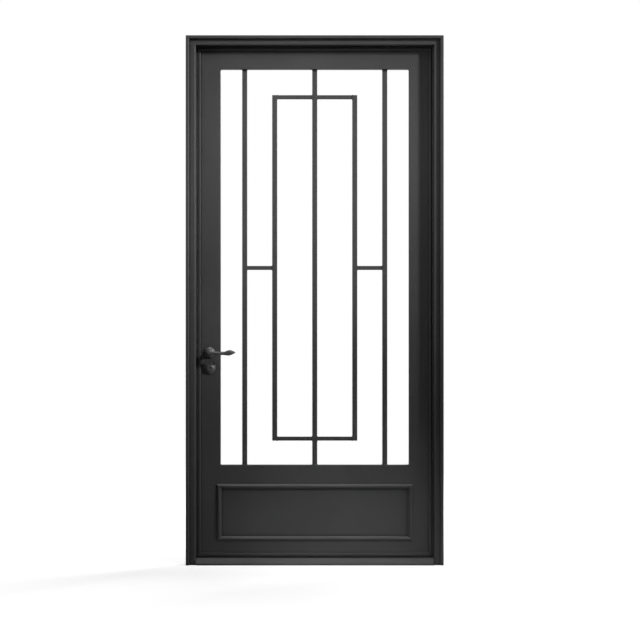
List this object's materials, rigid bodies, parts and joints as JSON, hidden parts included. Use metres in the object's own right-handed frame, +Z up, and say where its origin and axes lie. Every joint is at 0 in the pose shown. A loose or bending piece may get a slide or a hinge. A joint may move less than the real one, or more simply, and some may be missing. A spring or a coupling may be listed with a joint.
{
  "type": "steel security screen door",
  "caption": "Barred steel screen door in a lipped frame: hinged leaf with open grille, kick panel, lever handle and key cylinder.",
  "frame": {"origin": "middle of the sill's underside, in the plane of the frame's front face", "axes": "+X to the right seen from the push side, +Y away from that viewer, +Z up"},
  "size_m": [1.022, 0.146, 2.1],
  "materials": {
    "frame_paint": "satin charcoal paint",
    "hinge_paint": "satin charcoal paint",
    "leaf_paint": "satin charcoal paint",
    "panel_paint": "satin charcoal paint",
    "bar_paint": "satin charcoal paint",
    "handle_metal": "satin black plated metal",
    "lock_steel": "brushed"
  },
  "bodies": {
    "frame": {"left_jamb": "frame_paint", "right_jamb": "frame_paint", "head": "frame_paint", "sill": "frame_paint", "strike_plate": "lock_steel", "frame_knuckle_1": "hinge_paint", "frame_knuckle_2": "hinge_paint", "frame_knuckle_3": "hinge_paint"},
    "leaf": {"leaf_knuckle_1": "hinge_paint", "leaf_knuckle_2": "hinge_paint", "leaf_knuckle_3": "hinge_paint", "left_rim": "leaf_paint", "right_rim": "leaf_paint", "top_rim": "leaf_paint", "bottom_rim": "leaf_paint", "lock_stile": "leaf_paint", "hinge_stile": "leaf_paint", "top_rail": "leaf_paint", "lock_rail": "leaf_paint", "bottom_rail": "leaf_paint", "left_stop": "leaf_paint", "top_stop": "leaf_paint", "right_stop": "leaf_paint", "bottom_stop": "leaf_paint", "kick_panel": "panel_paint", "left_moulding": "panel_paint", "top_moulding": "panel_paint", "right_moulding": "panel_paint", "bottom_moulding": "panel_paint", "left_side_bar": "bar_paint", "center_bar": "bar_paint", "right_side_bar": "bar_paint", "left_inner_bar": "bar_paint", "right_inner_bar": "bar_paint", "top_inner_bar": "bar_paint", "bottom_inner_bar": "bar_paint", "left_tie": "bar_paint", "right_tie": "bar_paint", "outside_rose": "handle_metal", "inside_rose": "handle_metal", "outside_escutcheon": "handle_metal", "inside_escutcheon": "handle_metal", "key_cylinder": "handle_metal", "lock_faceplate": "lock_steel"},
    "lever": {"outside_lever": "handle_metal", "inside_lever": "handle_metal", "spindle": "lock_steel"}
  },
  "joints": [
    {"name": "leaf_swing", "type": "hinge", "parent": "frame", "child": "leaf", "pos_m": [0.4975, 0.086, 1], "axis": [0, 0, -1], "range_deg": [0, 100]},
    {"name": "lever_turn", "type": "hinge", "parent": "leaf", "child": "lever", "pos_m": [-0.4185, 0.06, 0.8425], "axis": [0, 1, 0], "range_deg": [0, 45], "stiffness_Nm_per_rad": 2, "springref_deg": -20.05}
  ]
}
